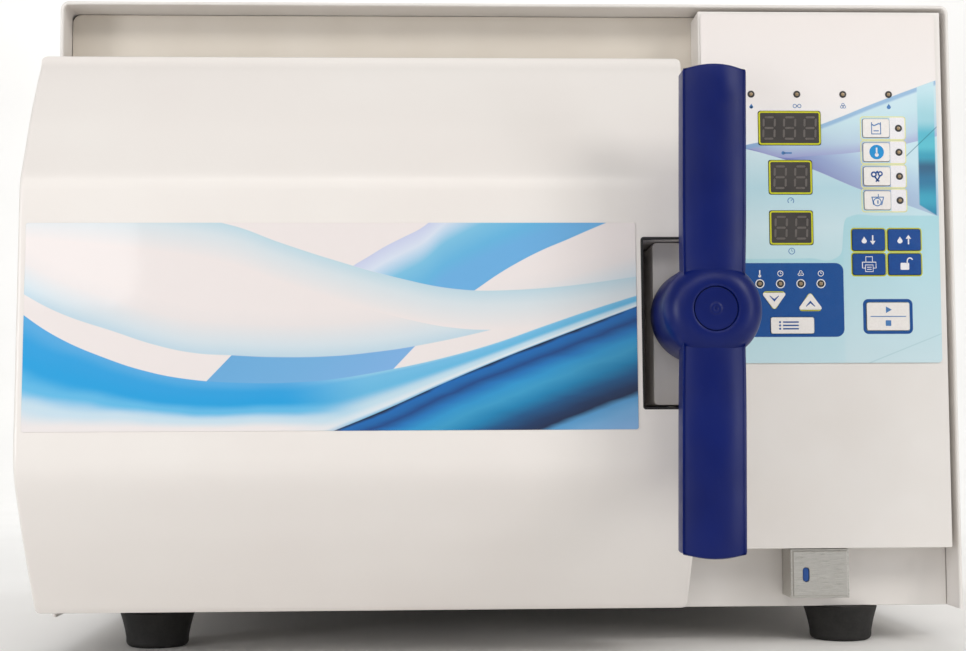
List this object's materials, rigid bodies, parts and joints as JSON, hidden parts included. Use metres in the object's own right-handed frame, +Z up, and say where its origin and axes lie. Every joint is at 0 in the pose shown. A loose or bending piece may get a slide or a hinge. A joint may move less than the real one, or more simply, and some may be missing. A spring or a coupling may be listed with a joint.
{
  "type": "benchtop autoclave",
  "caption": "Benchtop steam autoclave: white sheet case, bulged front door on a side hinge with a navy T handle, and a control box with a keypad at the right.",
  "frame": {"origin": "on the table, under the middle of the machine's bounding box", "axes": "+Z up, front faces -Y, +X to the right of someone facing it"},
  "size_m": [0.51, 0.57, 0.367],
  "materials": {
    "powder_coat": "white textured powder coat",
    "door_moulding": "warm white gloss moulding",
    "navy_plastic": "deep navy satin moulding",
    "stainless": "brushed stainless sheet",
    "plated_steel": "zinc plated steel",
    "brass": "machined brass",
    "copper": "drawn copper tube",
    "black_rubber": "black moulded rubber",
    "black_plastic": "black moulded plastic",
    "silicone": "translucent red silicone",
    "circuit_board": "green glass epoxy board",
    "glass_wool": "pressed glass wool",
    "door_print": "glossy printed film, white and blue sweeps",
    "keypad_print": "printed membrane, white to pale blue",
    "white_key": "white printed key",
    "blue_key": "blue printed key",
    "display_lens": "smoked display lens"
  },
  "bodies": {
    "case": {"base_pan": "powder_coat", "chamber": "stainless", "control_board": "circuit_board", "control_box": "powder_coat", "control_overlay": "keypad_print", "display_module": "display_lens", "exhaust_fitting": "brass", "exhaust_valve": "brass", "fan_frame": "black_plastic", "fascia": "powder_coat", "fill_valve": "brass", "foot_front_left": "black_rubber", "foot_front_right": "black_rubber", "foot_rear_left": "black_rubber", "foot_rear_right": "black_rubber", "heater_band": "stainless", "hinge_bracket_lower": "plated_steel", "hinge_bracket_upper": "plated_steel", "hinge_pin": "plated_steel", "hood": "powder_coat", "insulation_jacket": "glass_wool", "latch_keeper": "stainless", "power_board": "circuit_board", "power_inlet": "black_plastic", "rear_panel": "powder_coat", "reservoir": "stainless", "safety_valve": "brass", "service_cover": "stainless", "steam_pipe": "copper", "tray_lower": "stainless", "tray_rack": "stainless", "tray_upper": "stainless"},
    "door": {"door_cover": "door_moulding", "door_film": "door_print", "door_frame": "stainless", "door_gasket": "silicone", "hinge_strap": "plated_steel", "latch_block": "powder_coat", "pressure_plate": "stainless"},
    "handle": {"handle": "navy_plastic", "handle_cap": "navy_plastic", "latch_spindle": "plated_steel"},
    "reservoir_lid": {"reservoir_lid": "powder_coat"},
    "fan_rotor": {"fan_rotor": "black_plastic"},
    "mains_switch": {"mains_switch": "black_plastic"},
    "safety_valve_ring": {"safety_valve_ring": "plated_steel"},
    "reset_button": {"reset_button": "blue_key"},
    "key_down": {"key_down": "white_key"},
    "key_drain": {"key_drain": "blue_key"},
    "key_fill": {"key_fill": "blue_key"},
    "key_menu": {"key_menu": "white_key"},
    "key_print": {"key_print": "blue_key"},
    "key_program_1": {"key_program_1": "white_key"},
    "key_program_2": {"key_program_2": "white_key"},
    "key_program_3": {"key_program_3": "white_key"},
    "key_program_4": {"key_program_4": "white_key"},
    "key_start": {"key_start": "white_key"},
    "key_unlock": {"key_unlock": "blue_key"},
    "key_up": {"key_up": "white_key"}
  },
  "joints": [
    {"name": "door_hinge", "type": "hinge", "parent": "case", "child": "door", "pos_m": [-0.246, -0.171, 0.176], "axis": [0, 0, -1], "range_deg": [0, 105]},
    {"name": "handle_turn", "type": "hinge", "parent": "door", "child": "handle", "pos_m": [0.093, -0.285, 0.181], "axis": [0, 1, 0], "range_deg": [0, 90]},
    {"name": "lid_hinge", "type": "hinge", "parent": "case", "child": "reservoir_lid", "pos_m": [0.158, 0.206, 0.3652], "axis": [-1, 0, 0], "range_deg": [0, 95]},
    {"name": "fan_spin", "type": "hinge", "parent": "case", "child": "fan_rotor", "pos_m": [0.178, 0.237, 0.15], "axis": [0, 1, 0], "continuous": true},
    {"name": "switch_rock", "type": "hinge", "parent": "case", "child": "mains_switch", "pos_m": [0.21, 0.2575, 0.077], "axis": [-1, 0, 0], "range_deg": [0, 20]},
    {"name": "safety_ring_pull", "type": "slide", "parent": "case", "child": "safety_valve_ring", "axis": [0, 1, 0], "range_m": [0, 0.003], "stiffness_N_per_m": 2000},
    {"name": "reset_press", "type": "slide", "parent": "case", "child": "reset_button", "axis": [0, 1, 0], "range_m": [0, 0.0015], "stiffness_N_per_m": 800},
    {"name": "press_down", "type": "slide", "parent": "case", "child": "key_down", "axis": [0, 1, 0], "range_m": [0, 0.0004], "stiffness_N_per_m": 2000},
    {"name": "press_drain", "type": "slide", "parent": "case", "child": "key_drain", "axis": [0, 1, 0], "range_m": [0, 0.0004], "stiffness_N_per_m": 2000},
    {"name": "press_fill", "type": "slide", "parent": "case", "child": "key_fill", "axis": [0, 1, 0], "range_m": [0, 0.0004], "stiffness_N_per_m": 2000},
    {"name": "press_menu", "type": "slide", "parent": "case", "child": "key_menu", "axis": [0, 1, 0], "range_m": [0, 0.0004], "stiffness_N_per_m": 2000},
    {"name": "press_print", "type": "slide", "parent": "case", "child": "key_print", "axis": [0, 1, 0], "range_m": [0, 0.0004], "stiffness_N_per_m": 2000},
    {"name": "press_program_1", "type": "slide", "parent": "case", "child": "key_program_1", "axis": [0, 1, 0], "range_m": [0, 0.0004], "stiffness_N_per_m": 2000},
    {"name": "press_program_2", "type": "slide", "parent": "case", "child": "key_program_2", "axis": [0, 1, 0], "range_m": [0, 0.0004], "stiffness_N_per_m": 2000},
    {"name": "press_program_3", "type": "slide", "parent": "case", "child": "key_program_3", "axis": [0, 1, 0], "range_m": [0, 0.0004], "stiffness_N_per_m": 2000},
    {"name": "press_program_4", "type": "slide", "parent": "case", "child": "key_program_4", "axis": [0, 1, 0], "range_m": [0, 0.0004], "stiffness_N_per_m": 2000},
    {"name": "press_start", "type": "slide", "parent": "case", "child": "key_start", "axis": [0, 1, 0], "range_m": [0, 0.0004], "stiffness_N_per_m": 2000},
    {"name": "press_unlock", "type": "slide", "parent": "case", "child": "key_unlock", "axis": [0, 1, 0], "range_m": [0, 0.0004], "stiffness_N_per_m": 2000},
    {"name": "press_up", "type": "slide", "parent": "case", "child": "key_up", "axis": [0, 1, 0], "range_m": [0, 0.0004], "stiffness_N_per_m": 2000}
  ]
}
